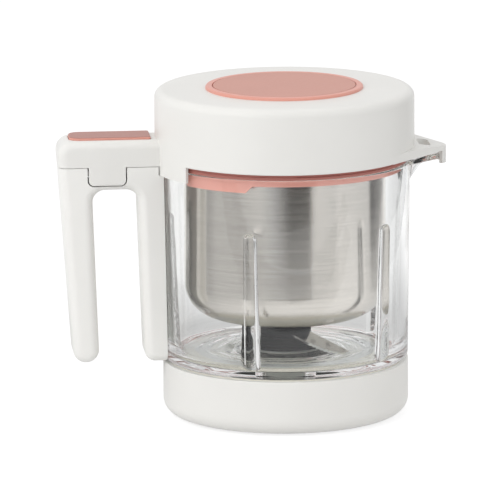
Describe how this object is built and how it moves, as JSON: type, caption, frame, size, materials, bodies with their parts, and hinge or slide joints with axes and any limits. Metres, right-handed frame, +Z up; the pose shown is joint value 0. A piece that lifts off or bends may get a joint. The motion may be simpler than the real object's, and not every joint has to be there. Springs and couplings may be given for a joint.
{
  "type": "baby food maker jug",
  "caption": "Glass blending and steaming jug with a moulded base, open handle, lift-off lid with filler cap, release button, steel basket and a bladed hub.",
  "frame": {"origin": "on the jug's axis, in the plane that the feet stand on", "axes": "+Z up along the jug's axis, +X towards the spout, handle on the -X side"},
  "size_m": [0.2201, 0.1464, 0.1878],
  "materials": {
    "white_plastic": "satin",
    "pink_plastic": "satin",
    "pink_inlay": "satin",
    "pink_silicone": "satin",
    "clear_silicone": "satin",
    "grey_rubber": "matte",
    "clear_glass": "polished",
    "brushed_steel": "brushed",
    "blade_steel": "polished",
    "plain_steel": "plain",
    "dark_plastic": "satin",
    "bush_brass": "plain"
  },
  "bodies": {
    "jug": {"glass_jug": "clear_glass", "base_cup": "white_plastic", "foot_ring": "grey_rubber", "jug_carrier": "white_plastic", "jug_gasket": "clear_silicone", "base_screws": "plain_steel", "bearing_housing": "dark_plastic", "housing_gasket": "grey_rubber", "bearing_nut": "dark_plastic", "lower_bush": "bush_brass", "upper_bush": "bush_brass", "shaft_seal": "grey_rubber", "handle_shell": "white_plastic", "catch_plate": "white_plastic", "handle_screws": "plain_steel"},
    "blade_unit": {"blade_hub": "dark_plastic", "cutting_blade": "blade_steel", "blade_shaft": "plain_steel", "thrust_washer": "bush_brass", "shaft_clip": "plain_steel", "drive_coupling": "dark_plastic"},
    "basket": {"basket": "brushed_steel", "basket_ring": "pink_silicone"},
    "lid": {"lid_shell": "white_plastic", "lid_liner": "white_plastic", "lid_screws": "plain_steel", "lid_seal": "pink_silicone", "arm_cover": "white_plastic", "latch_spring": "plain_steel", "button_spring": "plain_steel"},
    "filler_cap": {"filler_cap": "pink_plastic", "cap_inlay": "pink_inlay", "cap_seal": "clear_silicone"},
    "release_button": {"release_button": "pink_plastic"}
  },
  "joints": [
    {"name": "blade_spin", "type": "hinge", "parent": "jug", "child": "blade_unit", "pos_m": [0, 0, 0.05], "axis": [0, 0, 1], "continuous": true},
    {"name": "basket_lift", "type": "slide", "parent": "jug", "child": "basket", "axis": [0, 0, 1], "range_m": [0, 0.1]},
    {"name": "lid_lift", "type": "slide", "parent": "basket", "child": "lid", "axis": [0, 0, 1], "range_m": [0, 0.06], "deforming": ["latch_spring"]},
    {"name": "cap_lift", "type": "slide", "parent": "lid", "child": "filler_cap", "axis": [0, 0, 1], "range_m": [0, 0.035]},
    {"name": "button_press", "type": "slide", "parent": "lid", "child": "release_button", "axis": [0, 0, -1], "range_m": [0, 0.003], "stiffness_N_per_m": 600, "springref_m": -0.002, "deforming": ["button_spring"]}
  ]
}
